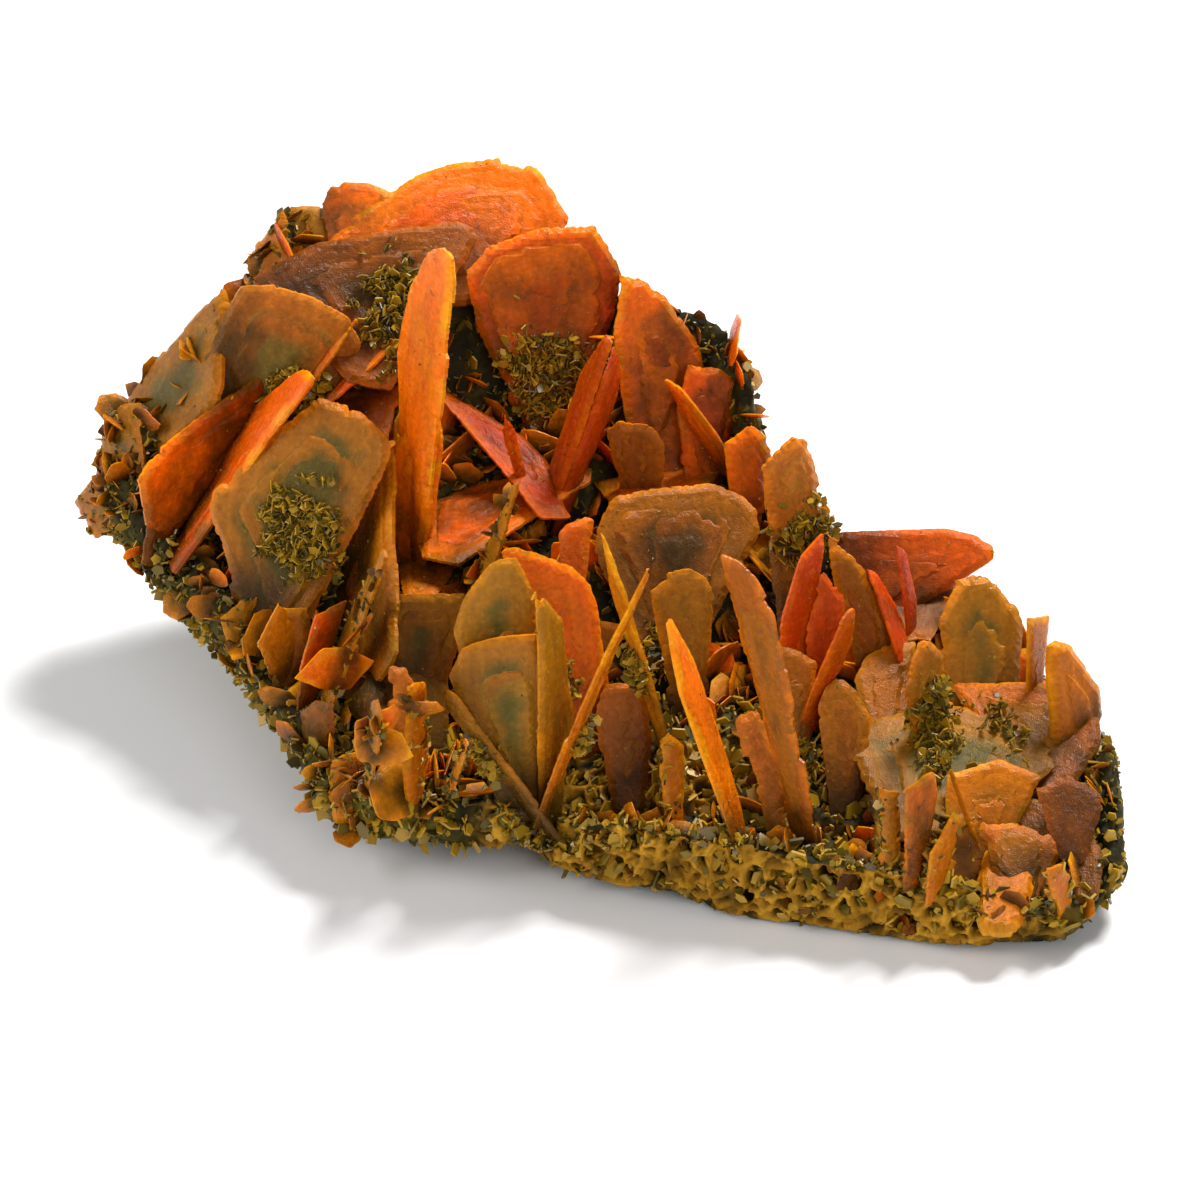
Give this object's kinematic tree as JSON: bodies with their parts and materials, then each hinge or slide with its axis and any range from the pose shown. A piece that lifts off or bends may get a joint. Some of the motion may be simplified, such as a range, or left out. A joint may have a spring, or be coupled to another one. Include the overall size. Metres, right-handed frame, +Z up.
{
  "type": "wulfenite specimen",
  "caption": "Jackstraw of thin tabular orange crystals standing on a sloping, honeycombed mineral crust.",
  "frame": {"origin": "on the resting plane, under the middle of the bounding box", "axes": "+Z up from the resting plane, +X along the specimen's length to its low end, -Y the front"},
  "size_m": [0.1072, 0.078, 0.0559],
  "materials": {
    "wulfenite": "resinous gloss",
    "crust": "rough, sparkling"
  },
  "bodies": {
    "root": {"diagonal_blade": "wulfenite", "front_spear": "wulfenite", "leaning_blade": "wulfenite", "long_dark_blade": "wulfenite", "bent_plate": "wulfenite", "salmon_plates": "wulfenite", "grey_plate": "wulfenite", "oval_plate": "wulfenite", "rimmed_plate": "wulfenite", "foot_blade": "wulfenite", "long_edge_blade": "wulfenite", "tall_blade": "wulfenite", "mossy_plate": "wulfenite", "double_blade": "wulfenite", "orange_blades": "wulfenite", "first_spear": "wulfenite", "second_spear": "wulfenite", "third_spear": "wulfenite", "rippled_plate": "wulfenite", "brown_plate": "wulfenite", "side_plates": "wulfenite", "crest_shield": "wulfenite", "crest_plate": "wulfenite", "crest_wing": "wulfenite", "crest_tail": "wulfenite", "twin_spears": "wulfenite", "right_diagonal_blade": "wulfenite", "cavity_blades": "wulfenite", "cavity_plate": "wulfenite", "right_orange_plate": "wulfenite", "level_blade_left": "wulfenite", "level_blade_right": "wulfenite", "low_blade": "wulfenite", "back_fan": "wulfenite", "octagon_plate": "wulfenite", "red_crystal": "wulfenite", "round_plate": "wulfenite", "low_brown_plate": "wulfenite", "cleavage_plate": "wulfenite", "pair_front": "wulfenite", "pair_back": "wulfenite", "rim_blades": "wulfenite", "under_plate": "wulfenite", "dark_red_plate": "wulfenite", "curved_plate": "wulfenite", "end_crystals": "wulfenite", "fan_plate": "wulfenite", "olive_rim_plate": "wulfenite", "long_red_blade": "wulfenite", "olive_grey_plate": "wulfenite", "brown_right_plate": "wulfenite", "red_jags": "wulfenite", "thin_reds": "wulfenite", "brown_olive_plate": "wulfenite", "small_olive_plate": "wulfenite", "level_right_leaf": "wulfenite", "level_right_blade": "wulfenite", "streaked_plate": "wulfenite", "crust": "crust"}
  },
  "joints": []
}
